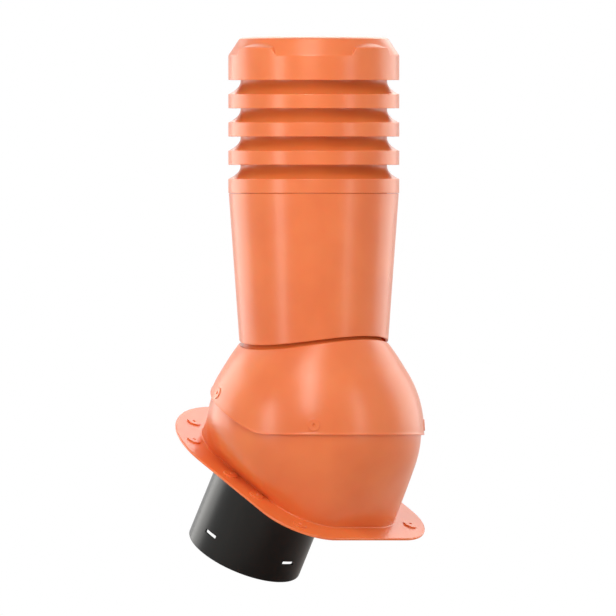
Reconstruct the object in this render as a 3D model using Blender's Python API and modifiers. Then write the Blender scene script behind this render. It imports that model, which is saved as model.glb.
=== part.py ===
"""Roof ventilation chimney of moulded plastic, for a pitched roof.

A flange lies on the roof slope and carries a bowl. A ball-shaped hood laps over the bowl, an upright sleeve
stands on the hood's neck, and four louvre rings and a cap are stacked on the sleeve. A round duct hangs in a
collar of the base, square to the slope, and ends below the roof.

World axes: +X runs level towards the eave, +Y along the eave, +Z up. The origin lies on the flange's
underside, in the middle of its eave margin. Slope coordinates are s down the slope, t along the eave and
h square to the slope, from the middle of the flange's underside. Metres and radians.
"""
import math

import bmesh
import bpy
from mathutils import Matrix, Vector

# General
ROOF_PITCH = math.radians(30)
GAP = 0.0003
SEGMENTS = 36

# Flange on the slope
FLANGE_LENGTH = 0.336
FLANGE_HALF_WIDTH = 0.134
FLANGE_EAVE_CORNER = 0.071
FLANGE_THICKNESS = 0.003
CORNER_STEPS = 7

# Bowl of the base
BOWL_WALL = 0.003
BALL_RADIUS = 0.1365
BALL_S = 0.0086
BALL_H = 0.0702
FOOT_SIDE_MARGIN = 0.0367
FOOT_RIDGE_MARGIN = 0.0347
FOOT_EAVE_MARGIN = 0.028
FOOT_EAVE_CORNER = 0.060
BOWL_RIM_HEIGHT = 0.055
BOWL_RIM_SLOPE = 0.26
LEAVE_SPREAD = math.radians(10)
LEAVE_LEAN = 1.5

# Duct and the collar that holds it
DUCT_S = -0.0216
DUCT_RADIUS = 0.075
DUCT_WALL = 0.003
DUCT_DROP = 0.1276
DUCT_RIM = 0.0045
DUCT_RIM_HEIGHT = 0.0027
COLLAR_RISE = 0.010
COLLAR_WALL = 0.003
SLOT_LENGTH = 0.020
SLOT_WIDTH = 0.005
SLOT_RISE = 0.028
SLOT_COUNT = 4

# Hood: its lower edge from the ball's centre, its seat from the ball's surface, its neck from the seat
HOOD_GAP = 0.0008
HOOD_WALL = 0.0027
HOOD_EDGE_DROP = 0.0065
HOOD_EDGE_RISE = 0.0095
HOOD_EDGE_SLOPE = 0.46
HOOD_EDGE_BLEND = math.radians(0.7)
HOOD_EDGE_LAP = math.radians(1.5)
HOOD_OUTER_STEPS = 4
HOOD_INNER_STEPS = 6
SEAT_RADIUS = 0.0953
SEAT_PROUD = 0.0062431
SEAT_WAVE = 0.0065
SEAT_LEDGE = 0.0012
SHOULDER_ANGLE = math.radians(16)
SHOULDER_POWER = 1.5
NECK_INSET = 0.0093
NECK_LENGTH = 0.0647
NECK_WALL = 0.003

# Sleeve, from the hood's seat
SLEEVE_TOP_INSET = 0.0006
SLEEVE_FOOT_INSET = 0.0007
SLEEVE_EDGE_GAP = 0.00475
SLEEVE_WAVE = 0.00583
SLEEVE_WALL = 0.003
SLEEVE_LENGTH = 0.1918

# Louvre rings
RING_COUNT = 4
RING_RADIUS = 0.1086
RING_WALL = 0.0027
BAND_HEIGHT = 0.0179
RING_PITCH = 0.0359
LIP_INSET = 0.0156
LIP_OVERLAP = 0.007
SKIRT_POWER = 2.4
SKIRT_STEPS = (0.22, 0.5)
WEB_COUNT = 4
WEB_THICKNESS = 0.0024

# Cap
CAP_SKIRT = 0.0314
CAP_SHOULDER_INSET = 0.0133
CAP_SHOULDER_HEIGHT = 0.0511
CAP_CROWN_INSET = 0.0073
CAP_CROWN_HEIGHT = 0.053
CAP_TOP_HEIGHT = 0.0559
LOBE_COUNT = 4
LOBE_HEIGHT = 0.0416
LOBE_LEDGE_RISE = 0.0043
LOBE_HALF_ANGLE_TOP = math.radians(15)
LOBE_HALF_ANGLE_FOOT = math.radians(18.5)
LOBE_STEPS = 4

# Round screw marks
MARK_SIDES = 10
MARK_RISE = 0.0009
FLANGE_MARK_RADIUS = 0.009
FLANGE_MARK_INSET = 0.0205
RIDGE_MARK_ANGLES = (0, 34, -34, 65, -65)
SIDE_MARK_PLACES = (0.30, 0.71)
HOOD_MARK_RADIUS = 0.0075
HOOD_EAVE_MARK = (math.radians(45), math.radians(2.6))
HOOD_RIDGE_MARK = (math.radians(113), math.radians(19.6))

ORANGE = (0.86, 0.165, 0.055, 1.0)
BLACK = (0.016, 0.016, 0.017, 1.0)

PART_NAME = "roof_ventilation_chimney"


# Scene, collections and materials

def clear_scene():
    for old in list(bpy.data.objects):
        bpy.data.objects.remove(old, do_unlink=True)


def new_collection(name):
    collection = bpy.data.collections.new(name)
    bpy.context.scene.collection.children.link(collection)
    return collection


def plastic(name, colour, roughness):
    material = bpy.data.materials.new(name)
    material.use_nodes = True
    shader = material.node_tree.nodes["Principled BSDF"]
    shader.inputs["Base Color"].default_value = colour
    shader.inputs["Roughness"].default_value = roughness
    shader.inputs["Metallic"].default_value = 0.0
    return material


def frame_empty(name, matrix, collection):
    empty = bpy.data.objects.new(name, None)
    empty.matrix_world = matrix
    collection.objects.link(empty)
    return empty


def put(name, mesh, frame, collection):
    """A new object of this mesh, placed in one of the two frames."""
    piece = bpy.data.objects.new(name, mesh)
    piece.parent = frame
    collection.objects.link(piece)
    return piece


def as_tool(piece):
    """Marks an object as one that only cuts or joins others."""
    piece.hide_render = True
    piece.display_type = "WIRE"
    return piece


# Modelling helpers

def closed_solid(name, rows):
    """A ring-shaped solid through closed rows of points, the last row joined to the first."""
    work = bmesh.new()
    grid = [[work.verts.new(point) for point in row] for row in rows]
    count = len(rows[0])
    for i, row in enumerate(grid):
        following = grid[(i + 1) % len(grid)]
        for k in range(count):
            m = (k + 1) % count
            work.faces.new((row[k], following[k], following[m], row[m]))
    bmesh.ops.recalc_face_normals(work, faces=work.faces)
    mesh = bpy.data.meshes.new(name)
    work.to_mesh(mesh)
    work.free()
    return mesh


def around(meridian):
    """Rows of points from a function that gives the meridian line at each azimuth."""
    columns = []
    for k in range(SEGMENTS):
        azimuth = 2 * math.pi * k / SEGMENTS
        columns.append([polar(radius, azimuth, height) for radius, height in meridian(azimuth)])
    return [list(row) for row in zip(*columns)]


def polar(radius, azimuth, height):
    return Vector((radius * math.cos(azimuth), radius * math.sin(azimuth), height))


def profile_mesh(name, profile, closed):
    """The outline of a turned piece in the XZ plane, as edges."""
    count = len(profile)
    edges = [(i, i + 1) for i in range(count - 1)]
    if closed:
        edges.append((count - 1, 0))
    mesh = bpy.data.meshes.new(name)
    mesh.from_pydata([(radius, 0.0, height) for radius, height in profile], edges, [])
    return mesh


def turn(piece, steps=SEGMENTS):
    """Turns the object's profile about its own Z axis."""
    screw = piece.modifiers.new("turned", "SCREW")
    screw.axis = "Z"
    screw.angle = 2 * math.pi
    screw.steps = steps
    screw.render_steps = steps
    screw.use_merge_vertices = True
    screw.merge_threshold = 0.00001
    return piece


def combine(piece, tool, operation):
    boolean = piece.modifiers.new(tool.name, "BOOLEAN")
    boolean.object = tool
    boolean.operation = operation
    boolean.solver = "EXACT"


def finished_mesh(piece):
    """The object's mesh with all its modifiers applied."""
    graph = bpy.context.evaluated_depsgraph_get()
    return bpy.data.meshes.new_from_object(piece.evaluated_get(graph))


def flat_plate(name, outline, thickness, collection):
    """A mesh plate from a flat outline in XY, its thickness centred on z = 0."""
    curve = bpy.data.curves.new(name, "CURVE")
    curve.dimensions = "2D"
    curve.fill_mode = "BOTH"
    curve.extrude = thickness / 2
    spline = curve.splines.new("POLY")
    spline.points.add(len(outline) - 1)
    for point, (x, y) in zip(spline.points, outline):
        point.co = (x, y, 0.0, 1.0)
    spline.use_cyclic_u = True
    drawn = put(name + "_outline", curve, None, collection)
    mesh = finished_mesh(drawn)
    bpy.data.objects.remove(drawn)
    work = bmesh.new()
    work.from_mesh(mesh)
    bmesh.ops.remove_doubles(work, verts=work.verts, dist=0.000001)
    bmesh.ops.recalc_face_normals(work, faces=work.faces)
    work.to_mesh(mesh)
    work.free()
    return mesh


def repeat_around(mesh, count):
    """Turns copies of the mesh about Z, evenly spaced."""
    work = bmesh.new()
    work.from_mesh(mesh)
    first = list(work.verts) + list(work.edges) + list(work.faces)
    bmesh.ops.spin(work, geom=first, axis=(0, 0, 1), cent=(0, 0, 0), steps=count - 1,
                   angle=2 * math.pi * (count - 1) / count, use_duplicate=True)
    work.to_mesh(mesh)
    work.free()


def offset_line(points, distance):
    """The open line moved to its right by the distance, with mitred corners."""
    moved = []
    for i, (x, y) in enumerate(points):
        sides = []
        for a, b in ((i - 1, i), (i, i + 1)):
            if a >= 0 and b < len(points):
                direction = (Vector(points[b]) - Vector(points[a])).normalized()
                sides.append(Vector((direction.y, -direction.x)))
        middle = sum(sides, Vector((0, 0))).normalized()
        reach = distance / middle.dot(sides[0])
        moved.append((x + middle.x * reach, y + middle.y * reach))
    return moved


def cylinder(name, radius, low, high, sides, frame, collection):
    work = bmesh.new()
    bmesh.ops.create_cone(work, cap_ends=True, segments=sides, radius1=radius, radius2=radius,
                          depth=high - low)
    bmesh.ops.translate(work, verts=work.verts, vec=(0, 0, (low + high) / 2))
    mesh = bpy.data.meshes.new(name)
    work.to_mesh(mesh)
    work.free()
    return as_tool(put(name, mesh, frame, collection))


# Outlines on the slope

def flange_outline():
    """Ridge end, eave end, half width, ridge corner and eave corner of the flange."""
    half = FLANGE_LENGTH / 2
    return -half, half, FLANGE_HALF_WIDTH, FLANGE_HALF_WIDTH, FLANGE_EAVE_CORNER


def foot_outline():
    """The same for the bowl's foot on the flange."""
    ridge, eave, width, _, _ = flange_outline()
    half_width = width - FOOT_SIDE_MARGIN
    return ridge + FOOT_RIDGE_MARGIN, eave - FOOT_EAVE_MARGIN, half_width, half_width, FOOT_EAVE_CORNER


def outline_points(outline):
    """Points along an outline, with its corners as arcs."""
    ridge, eave, width, ridge_corner, eave_corner = outline
    corners = (
        (eave - eave_corner, width - eave_corner, eave_corner, 0),
        (ridge + ridge_corner, width - ridge_corner, ridge_corner, 1),
        (ridge + ridge_corner, ridge_corner - width, ridge_corner, 2),
        (eave - eave_corner, eave_corner - width, eave_corner, 3),
    )
    points = []
    for s, t, radius, quarter in corners:
        for step in range(CORNER_STEPS + 1):
            angle = math.pi / 2 * (quarter + step / CORNER_STEPS)
            point = (s + radius * math.cos(angle), t + radius * math.sin(angle))
            if not points or math.dist(point, points[-1]) > GAP:
                points.append(point)
    return points


def distance_outside(s, t, outline):
    """How far a slope point lies outside an outline; negative inside."""
    ridge, eave, width, ridge_corner, eave_corner = outline
    across = abs(t)
    if s < ridge + ridge_corner:
        corner, past, end = ridge_corner, ridge + ridge_corner - s, ridge - s
    elif s > eave - eave_corner:
        corner, past, end = eave_corner, s - (eave - eave_corner), s - eave
    else:
        return across - width
    if across > width - corner:
        return math.hypot(past, across - (width - corner)) - corner
    return max(end, across - width)


# Bowl and hood meridians, in radius from the chimney axis and height above the ball's centre

def ball_point(radius, angle):
    return radius * math.cos(angle), radius * math.sin(angle)


def plane_angle(radius, height, slope, azimuth):
    """Where a ball's meridian meets the plane z = height - slope * x."""
    lean = slope * math.cos(azimuth)
    return math.asin(height / radius / math.hypot(1, lean)) - math.atan(lean)


def smooth_max(a, b, blend):
    return (a + b) / 2 + math.hypot((a - b) / 2, blend)


def hood_edge_angle(azimuth):
    """The hood's lower edge: level on the eave side, rising on the ridge side."""
    radius = hood_radius()
    level = math.asin(-HOOD_EDGE_DROP / radius)
    rising = plane_angle(radius, HOOD_EDGE_RISE, HOOD_EDGE_SLOPE, azimuth)
    return smooth_max(level, rising, HOOD_EDGE_BLEND)


def hood_radius():
    return BALL_RADIUS + HOOD_GAP + HOOD_WALL


def foot_point(azimuth, inset):
    """Radius and height of the bowl's foot at this azimuth, halfway through the flange's thickness."""
    level = FLANGE_THICKNESS / 2
    ball_x, ball_z = slope_to_level(BALL_S, BALL_H)
    near, far = 0.0, FLANGE_LENGTH
    for _ in range(40):
        radius = (near + far) / 2
        s = (ball_x + radius * math.cos(azimuth) - level * math.sin(ROOF_PITCH)) / math.cos(ROOF_PITCH)
        if distance_outside(s, radius * math.sin(azimuth), foot_outline()) < -inset:
            near = radius
        else:
            far = radius
    return near, slope_to_level(s, level)[1] - ball_z


def slope_to_level(s, h):
    """World x and z, from the middle of the flange's underside, of a slope point."""
    return (s * math.cos(ROOF_PITCH) + h * math.sin(ROOF_PITCH),
            h * math.cos(ROOF_PITCH) - s * math.sin(ROOF_PITCH))


def bowl_line(azimuth, inset):
    """The bowl's meridian from its rim to its foot: along the ball, then a smooth run to the foot."""
    radius = BALL_RADIUS - inset
    foot = Vector(foot_point(azimuth, inset))
    foot_angle = math.atan2(foot.y, foot.x)
    if foot.length > radius:
        turn_angle = math.acos(radius / foot.length)
    else:
        turn_angle = LEAVE_LEAN * math.acos(foot.length / radius)
    leave = foot_angle + math.hypot(turn_angle, LEAVE_SPREAD)
    leave = -smooth_max(-leave, HOOD_EDGE_LAP - hood_edge_angle(azimuth), HOOD_EDGE_BLEND)
    rim = plane_angle(radius, BOWL_RIM_HEIGHT, BOWL_RIM_SLOPE, azimuth)
    line = [ball_point(radius, rim + (leave - rim) * step / 4) for step in range(5)]
    start = Vector(line[-1])
    tangent = Vector((math.sin(leave), -math.cos(leave)))
    bend = start + tangent * (foot - start).length / 2
    for u in (0.35, 0.7, 1.0):
        point = start * (1 - u) ** 2 + bend * 2 * u * (1 - u) + foot * u ** 2
        line.append((point.x, point.y))
    return line


def bowl_meridian(azimuth):
    return bowl_line(azimuth, 0.0) + bowl_line(azimuth, BOWL_WALL)[::-1]


def seat_height():
    """Mean height of the wavy seat, which stands proud of the ball."""
    return math.sqrt(hood_radius() ** 2 - SEAT_RADIUS ** 2) + SEAT_PROUD


def neck_radius():
    return SEAT_RADIUS - NECK_INSET


def neck_height():
    return seat_height() + NECK_LENGTH


def hood_meridian(azimuth):
    """The hood's section from the neck's top down its outside to the edge and up its inside.

    Under the seat the inside leaves the ball and runs level to the bore, one wall below the seat's ledge.
    """
    outer = hood_radius()
    inner = outer - HOOD_WALL
    seat = seat_height() + SEAT_WAVE * math.cos(2 * azimuth)
    seat_angle = math.atan2(seat, SEAT_RADIUS)
    proud = math.hypot(seat, SEAT_RADIUS) - outer
    shoulder = seat_angle - SHOULDER_ANGLE
    edge = hood_edge_angle(azimuth)
    bore = neck_radius() - NECK_WALL
    line = [
        (neck_radius(), neck_height()),
        (neck_radius(), seat - SEAT_LEDGE),
        (SEAT_RADIUS, seat),
        ball_point(outer + proud * 0.5 ** SHOULDER_POWER, (seat_angle + shoulder) / 2),
    ]
    line += [ball_point(outer, shoulder + (edge - shoulder) * step / HOOD_OUTER_STEPS)
             for step in range(HOOD_OUTER_STEPS + 1)]
    under = min(seat - SEAT_LEDGE - HOOD_WALL, math.sqrt(inner ** 2 - neck_radius() ** 2))
    top = math.asin(under / inner)
    line += [ball_point(inner, edge + (top - edge) * step / HOOD_INNER_STEPS)
             for step in range(HOOD_INNER_STEPS + 1)]
    return line + [(bore, under), (bore, neck_height())]


# Sleeve meridian

def sleeve_top_radius():
    return RING_RADIUS - SLEEVE_TOP_INSET


def lip_radius():
    """Outer radius of the lip inside the band above, on the sleeve and on each ring."""
    return RING_RADIUS - LIP_INSET


def sleeve_edge_height():
    """Mean height of the sleeve's wavy lower edge."""
    return seat_height() + SLEEVE_EDGE_GAP


def seam_height():
    """Height of the seam between the sleeve and the first ring."""
    return seat_height() + SLEEVE_LENGTH


def sleeve_radius(height):
    foot_radius = SEAT_RADIUS - SLEEVE_FOOT_INSET
    share = (height - sleeve_edge_height()) / (seam_height() - sleeve_edge_height())
    return foot_radius + (sleeve_top_radius() - foot_radius) * share


def sleeve_meridian(azimuth):
    """Section of the sleeve: tapered wall, shelf on the hood's neck, and a lip for the first ring."""
    edge = sleeve_edge_height() + SLEEVE_WAVE * math.cos(2 * azimuth)
    shelf_low = neck_height() + GAP
    shelf_high = shelf_low + SLEEVE_WALL
    shelf_inner = neck_radius() - NECK_WALL
    seam = seam_height()
    floor = seam - SLEEVE_WALL
    lip_inner = lip_radius() - RING_WALL
    return [
        (lip_radius(), seam + LIP_OVERLAP),
        (lip_radius(), seam),
        (sleeve_top_radius(), seam),
        (sleeve_radius(edge), edge),
        (sleeve_radius(edge) - SLEEVE_WALL, edge),
        (sleeve_radius(shelf_low) - SLEEVE_WALL, shelf_low),
        (shelf_inner, shelf_low),
        (shelf_inner, shelf_high),
        (sleeve_radius(shelf_high) - SLEEVE_WALL, shelf_high),
        (sleeve_radius(floor) - SLEEVE_WALL, floor),
        (lip_inner, floor),
        (lip_inner, seam + LIP_OVERLAP),
    ]


# Louvre ring and cap profiles, with heights above the band's lower edge

def ring_line():
    """The ring's outer line from the lip's top, down the curved skirt and the band."""
    rise = RING_PITCH - BAND_HEIGHT
    line = [(lip_radius(), RING_PITCH + LIP_OVERLAP), (lip_radius(), RING_PITCH)]
    for share in reversed(SKIRT_STEPS):
        reach = (RING_RADIUS - lip_radius()) * (1 - share) ** SKIRT_POWER
        line.append((lip_radius() + reach, BAND_HEIGHT + rise * share))
    return line + [(RING_RADIUS, BAND_HEIGHT), (RING_RADIUS, 0.0)]


def cap_shoulder_radius():
    return RING_RADIUS - CAP_SHOULDER_INSET


def cap_crown_radius():
    return cap_shoulder_radius() - CAP_CROWN_INSET


def cap_line():
    """The cap's outer line from the middle of its top to the skirt's lower edge."""
    return [
        (0.0, CAP_TOP_HEIGHT),
        (cap_crown_radius() / 2, CAP_TOP_HEIGHT - (CAP_TOP_HEIGHT - CAP_CROWN_HEIGHT) / 4),
        (cap_crown_radius(), CAP_CROWN_HEIGHT),
        (cap_shoulder_radius(), CAP_SHOULDER_HEIGHT),
        (RING_RADIUS, CAP_SKIRT),
        (RING_RADIUS, 0.0),
    ]


def web_foot():
    """Height at which a web rests on the lip of the ring below."""
    return LIP_OVERLAP + GAP


def lip_middle():
    return lip_radius() - RING_WALL / 2


def ring_web_outline():
    """A web's outline, its upper edge buried in the middle of the skirt's wall."""
    middle = offset_line(ring_line(), RING_WALL / 2)[1:-1]
    return [(lip_middle(), web_foot())] + middle + [(middle[-1][0], web_foot())]


def cap_web_outline():
    middle = RING_RADIUS - RING_WALL / 2
    return [(lip_middle(), web_foot()), (lip_middle(), CAP_SKIRT / 2), (middle, CAP_SKIRT - RING_WALL),
            (middle, web_foot())]


def standing_webs(name, outline, frame, collection):
    """Radial webs: the outline stood up along the radius and repeated around the axis."""
    mesh = flat_plate(name, outline, WEB_THICKNESS, collection)
    mesh.transform(Matrix.Rotation(math.pi / 2, 4, "X"))
    repeat_around(mesh, WEB_COUNT)
    return as_tool(put(name, mesh, frame, collection))


def lobe_mesh(name):
    """The cap's raised lobes: blocks flush with the skirt, with slanted ends and a top that rises inward."""
    wall = RING_WALL
    slope = (CAP_SHOULDER_HEIGHT - CAP_SKIRT) / (RING_RADIUS - cap_shoulder_radius())
    flush = RING_RADIUS - wall / 20
    foot = CAP_SKIRT - wall / 2
    work = bmesh.new()
    rows = []
    for step in range(LOBE_STEPS + 1):
        share = 2 * step / LOBE_STEPS - 1
        inner_top = LOBE_HEIGHT + LOBE_LEDGE_RISE * (1 - share ** 2)
        buried = RING_RADIUS - (inner_top - CAP_SKIRT) / slope - wall / 4
        section = [(RING_RADIUS - wall / 2, foot), (flush, foot), (flush, LOBE_HEIGHT), (buried, inner_top)]
        row = []
        for radius, height in section:
            half = LOBE_HALF_ANGLE_TOP if height > foot else LOBE_HALF_ANGLE_FOOT
            row.append(work.verts.new(polar(radius, share * half, height)))
        rows.append(row)
    for a, b in zip(rows, rows[1:]):
        for i in range(4):
            k = (i + 1) % 4
            work.faces.new((a[i], a[k], b[k], b[i]))
    work.faces.new(rows[0])
    work.faces.new(rows[-1])
    bmesh.ops.recalc_face_normals(work, faces=work.faces)
    mesh = bpy.data.meshes.new(name)
    work.to_mesh(mesh)
    work.free()
    repeat_around(mesh, LOBE_COUNT)
    return mesh


# Screw marks

def flange_mark_places():
    """Slope positions of the round marks: around the ridge end, along the sides and at the eave corners."""
    ridge, eave, width, ridge_corner, eave_corner = flange_outline()
    circle = ridge_corner - FLANGE_MARK_INSET
    places = []
    for degrees in RIDGE_MARK_ANGLES:
        angle = math.radians(degrees)
        places.append((ridge + ridge_corner - circle * math.cos(angle), circle * math.sin(angle)))
    straight = eave - eave_corner - (ridge + ridge_corner)
    corner_reach = (eave_corner - FLANGE_MARK_INSET) / math.sqrt(2)
    for side in (-1, 1):
        for share in SIDE_MARK_PLACES:
            places.append((ridge + ridge_corner + straight * share, side * (width - FLANGE_MARK_INSET)))
        places.append((eave - eave_corner + corner_reach, side * (width - eave_corner + corner_reach)))
    return places


def hood_mark_matrix(azimuth, angle):
    """Stands a mark on the hood, its axis through the ball's centre."""
    outward = polar(math.cos(angle), azimuth, math.sin(angle))
    place = outward * (hood_radius() - HOOD_WALL / 2)
    return Matrix.Translation(place) @ outward.to_track_quat("Z", "Y").to_matrix().to_4x4()


# Pieces

def build_base(slope, axis, parts, tools, material):
    thickness = FLANGE_THICKNESS
    mesh = flat_plate("roof_base", outline_points(flange_outline()), thickness, tools)
    mesh.transform(Matrix.Translation((0, 0, thickness / 2)))
    base = put("roof_base", mesh, slope, parts)
    base.data.materials.append(material)
    bowl = as_tool(put("bowl", closed_solid("bowl", around(bowl_meridian)), axis, tools))
    combine(base, bowl, "UNION")
    bore = DUCT_RADIUS + GAP
    collar = cylinder("collar", bore + COLLAR_WALL, thickness / 2, COLLAR_RISE, SEGMENTS, slope, tools)
    collar.location = (DUCT_S, 0, 0)
    combine(base, collar, "UNION")
    opening = cylinder("opening", bore, -COLLAR_RISE, 2 * COLLAR_RISE, SEGMENTS, slope, tools)
    opening.location = (DUCT_S, 0, 0)
    combine(base, opening, "DIFFERENCE")
    for i, (s, t) in enumerate(flange_mark_places()):
        mark = cylinder(f"flange_mark_{i + 1}", FLANGE_MARK_RADIUS, thickness / 2, thickness + MARK_RISE,
                        MARK_SIDES, slope, tools)
        mark.location = (s, t, 0)
        combine(base, mark, "UNION")
    return base


def build_duct(slope, parts, tools, material):
    rim_low = COLLAR_RISE + GAP
    top = rim_low + DUCT_RIM_HEIGHT
    profile = [
        (DUCT_RADIUS + DUCT_RIM, top),
        (DUCT_RADIUS + DUCT_RIM, rim_low),
        (DUCT_RADIUS, rim_low),
        (DUCT_RADIUS, -DUCT_DROP),
        (DUCT_RADIUS - DUCT_WALL, -DUCT_DROP),
        (DUCT_RADIUS - DUCT_WALL, top),
    ]
    duct = turn(put("duct_pipe", profile_mesh("duct_pipe", profile, True), slope, parts))
    duct.location = (DUCT_S, 0, 0)
    duct.data.materials.append(material)
    work = bmesh.new()
    bmesh.ops.create_cube(work, size=1.0)
    bmesh.ops.scale(work, verts=work.verts, vec=(4 * DUCT_WALL, SLOT_LENGTH, SLOT_WIDTH))
    bmesh.ops.translate(work, verts=work.verts, vec=(DUCT_RADIUS - DUCT_WALL / 2, 0, SLOT_RISE - DUCT_DROP))
    mesh = bpy.data.meshes.new("slots")
    work.to_mesh(mesh)
    work.free()
    repeat_around(mesh, SLOT_COUNT)
    slots = as_tool(put("slots", mesh, slope, tools))
    slots.location = (DUCT_S, 0, 0)
    combine(duct, slots, "DIFFERENCE")
    return duct


def build_hood(axis, parts, tools, material):
    hood = put("ball_hood", closed_solid("ball_hood", around(hood_meridian)), axis, parts)
    hood.data.materials.append(material)
    for end, (azimuth, angle) in (("eave", HOOD_EAVE_MARK), ("ridge", HOOD_RIDGE_MARK)):
        for side, name in ((1, "left"), (-1, "right")):
            mark = cylinder(f"hood_mark_{end}_{name}", HOOD_MARK_RADIUS, 0, HOOD_WALL / 2 + MARK_RISE,
                            MARK_SIDES, axis, tools)
            mark.matrix_local = hood_mark_matrix(side * azimuth, angle)
            combine(hood, mark, "UNION")
    return hood


def build_sleeve(axis, parts, material):
    sleeve = put("outer_sleeve", closed_solid("outer_sleeve", around(sleeve_meridian)), axis, parts)
    sleeve.data.materials.append(material)
    return sleeve


def build_rings(axis, parts, tools, material):
    outer = ring_line()
    profile = outer + offset_line(outer, RING_WALL)[::-1]
    pattern = turn(put("ring_pattern", profile_mesh("ring_pattern", profile, True), None, tools))
    webs = standing_webs("ring_webs", ring_web_outline(), None, tools)
    combine(pattern, webs, "UNION")
    mesh = finished_mesh(pattern)
    mesh.name = "louvre_ring"
    mesh.materials.clear()
    mesh.materials.append(material)
    for tool in (pattern, webs):
        bpy.data.objects.remove(tool)
    rings = []
    for i in range(RING_COUNT):
        ring = put(f"louvre_ring_{i + 1}", mesh, axis, parts)
        ring.location = (0, 0, seam_height() + GAP + i * RING_PITCH)
        rings.append(ring)
    return rings


def build_cap(axis, parts, tools, material):
    outer = cap_line()
    inner = offset_line(outer, RING_WALL)[::-1]
    inner[-1] = (0.0, inner[-1][1])
    cap = turn(put("cap_cover", profile_mesh("cap_cover", outer + inner, False), axis, parts))
    cap.data.materials.append(material)
    place = (0, 0, seam_height() + GAP + RING_COUNT * RING_PITCH)
    cap.location = place
    webs = standing_webs("cap_webs", cap_web_outline(), axis, tools)
    webs.location = place
    combine(cap, webs, "UNION")
    lobes = as_tool(put("lobes", lobe_mesh("lobes"), axis, tools))
    lobes.location = place
    combine(cap, lobes, "UNION")
    return cap


def main():
    clear_scene()
    parts = new_collection(PART_NAME)
    tools = new_collection("cutters")
    orange = plastic("terracotta_plastic", ORANGE, 0.42)
    black = plastic("black_plastic", BLACK, 0.38)
    seat_s = FLANGE_LENGTH / 2 - FOOT_EAVE_MARGIN / 2
    seat_x, seat_z = slope_to_level(seat_s, 0.0)
    ball_x, ball_z = slope_to_level(BALL_S, BALL_H)
    tilt = Matrix.Rotation(ROOF_PITCH, 4, "Y")
    slope = frame_empty("roof_slope", Matrix.Translation((-seat_x, 0, -seat_z)) @ tilt, parts)
    axis = frame_empty("chimney_axis", Matrix.Translation((ball_x - seat_x, 0, ball_z - seat_z)), parts)
    build_base(slope, axis, parts, tools, orange)
    build_duct(slope, parts, tools, black)
    build_hood(axis, parts, tools, orange)
    build_sleeve(axis, parts, orange)
    build_rings(axis, parts, tools, orange)
    build_cap(axis, parts, tools, orange)
    for piece in parts.objects:
        if piece.type == "MESH":
            piece.data.shade_smooth()
            piece.data.set_sharp_from_angle(angle=math.radians(30))


main()
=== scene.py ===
# %% [markdown]
# A roof vent chimney of moulded plastic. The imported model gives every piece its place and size. This script
# dresses it: each turned or moulded piece is made again with fine steps and rounded edges, in the same
# place, and gets the finish of the real plastic. Lengths are in metres, so a size in millimetres is a number
# times MM.

# %% Load the frame
import math

import bmesh
import bpy
from mathutils import Matrix, Vector


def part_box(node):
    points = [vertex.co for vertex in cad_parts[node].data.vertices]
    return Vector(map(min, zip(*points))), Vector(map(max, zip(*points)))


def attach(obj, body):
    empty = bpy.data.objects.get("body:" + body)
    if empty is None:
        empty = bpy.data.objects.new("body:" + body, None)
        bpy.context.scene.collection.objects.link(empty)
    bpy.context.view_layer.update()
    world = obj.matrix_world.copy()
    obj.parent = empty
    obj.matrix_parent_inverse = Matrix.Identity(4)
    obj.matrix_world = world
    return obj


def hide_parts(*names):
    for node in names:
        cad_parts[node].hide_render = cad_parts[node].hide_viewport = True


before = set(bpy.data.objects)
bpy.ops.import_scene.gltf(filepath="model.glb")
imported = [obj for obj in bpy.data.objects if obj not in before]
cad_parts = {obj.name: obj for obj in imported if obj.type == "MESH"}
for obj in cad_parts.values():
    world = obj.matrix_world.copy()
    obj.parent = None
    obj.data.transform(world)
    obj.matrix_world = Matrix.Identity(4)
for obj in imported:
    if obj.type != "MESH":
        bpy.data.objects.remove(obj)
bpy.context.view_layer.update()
MM = 0.001
print("nodes:", sorted(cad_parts))

# %% [markdown]
# The roof falls 30 degrees towards +X. A place on the slope is told by s down the slope, t along the eave
# and h square to the slope, from the middle of the flange's underside. The upright parts stand around one
# axis, through the centre of the ball that the bowl and the hood share.

# %% Slope and axis
PITCH = math.radians(30)
GAP = 0.3 * MM
FLANGE_LENGTH = 336 * MM
FLANGE_HALF_WIDTH = 134 * MM
FLANGE_EAVE_CORNER = 71 * MM
FLANGE_THICKNESS = 3 * MM
EAVE_MARGIN = 28 * MM
BALL_S = 8.6 * MM
BALL_H = 70.2 * MM
ORIGIN_S = FLANGE_LENGTH / 2 - EAVE_MARGIN / 2


def on_slope(s, t, h):
    """World place of a slope point."""
    down = s - ORIGIN_S
    return Vector((down * math.cos(PITCH) + h * math.sin(PITCH), t,
                   h * math.cos(PITCH) - down * math.sin(PITCH)))


BALL = on_slope(BALL_S, 0, BALL_H)


def around_axis(radius, azimuth, height):
    """World place of a point told by its radius, azimuth and height from the ball's centre."""
    return BALL + Vector((radius * math.cos(azimuth), radius * math.sin(azimuth), height))


print("ball centre at", tuple(round(value, 4) for value in BALL))

# %% [markdown]
# Injection-moulded plastic has no sharp outer edges, and on a satin part the rounding is what catches the
# light. So every section line is drawn with its corners as short arcs. A corner keeps its number of points
# whatever its size, so sections at different azimuths can be joined row by row.

# %% Section lines with rounded corners
CORNER_POINTS = 5


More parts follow.
